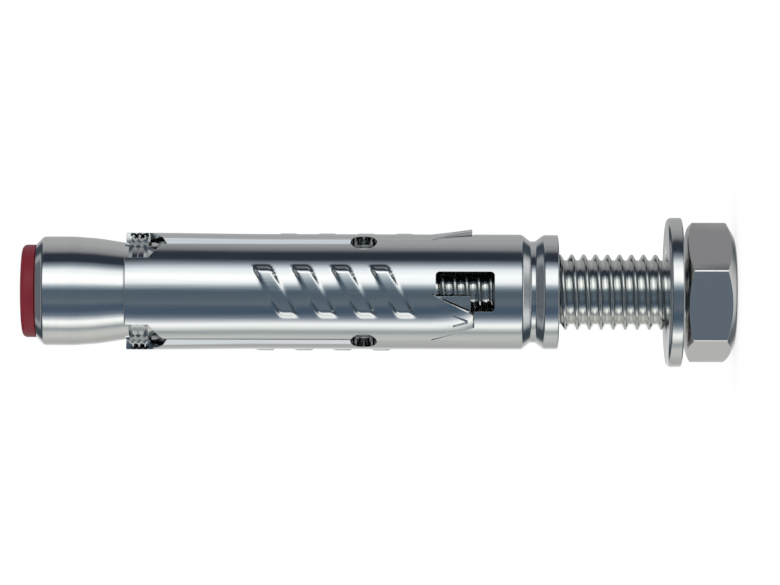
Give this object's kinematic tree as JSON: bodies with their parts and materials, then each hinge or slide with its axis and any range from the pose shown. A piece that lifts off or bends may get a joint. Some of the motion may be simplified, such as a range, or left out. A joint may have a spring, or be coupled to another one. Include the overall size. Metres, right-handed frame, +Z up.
{
  "type": "sleeve anchor",
  "caption": "Expansion sleeve anchor with a hex bolt, flat washer, slotted rolled sleeve with slanted ribs and barbs, tapered cone nut and plastic end cap.",
  "frame": {"origin": "centre of the top face of the bolt head, on which the anchor stands", "axes": "+Z up the bolt from the head to the cap; -Y is the side that the picture shows, where one sleeve segment faces the viewer"},
  "size_m": [0.0156, 0.0156, 0.0743],
  "materials": {
    "bolt_steel": "zinc plated, satin head and bright thread",
    "washer_steel": "zinc plated, bright",
    "sleeve_steel": "zinc plated, bright, slightly blue",
    "cone_steel": "zinc plated, bright, turned",
    "cap_plastic": "moulded, dark red"
  },
  "bodies": {
    "sleeve": {"expansion_sleeve": "sleeve_steel"},
    "bolt": {"hex_bolt": "bolt_steel"},
    "cone": {"cone_nut": "cone_steel", "end_cap": "cap_plastic"},
    "ring": {"washer": "washer_steel"}
  },
  "joints": [
    {"name": "bolt_turn", "type": "hinge", "parent": "sleeve", "child": "bolt", "pos_m": [0, 0, 0], "axis": [0, 0, 1], "range_deg": [-540, 0]},
    {"name": "cone_travel", "type": "slide", "parent": "sleeve", "child": "cone", "axis": [0, 0, 1], "range_m": [0, 0.0019]},
    {"name": "washer_slide", "type": "slide", "parent": "bolt", "child": "ring", "axis": [0, 0, 1], "range_m": [-0.0004, 0.01127]}
  ],
  "couplings": [
    {"joint": "cone_travel", "follows": "bolt_turn", "m_per_rad": -0.00019894}
  ]
}
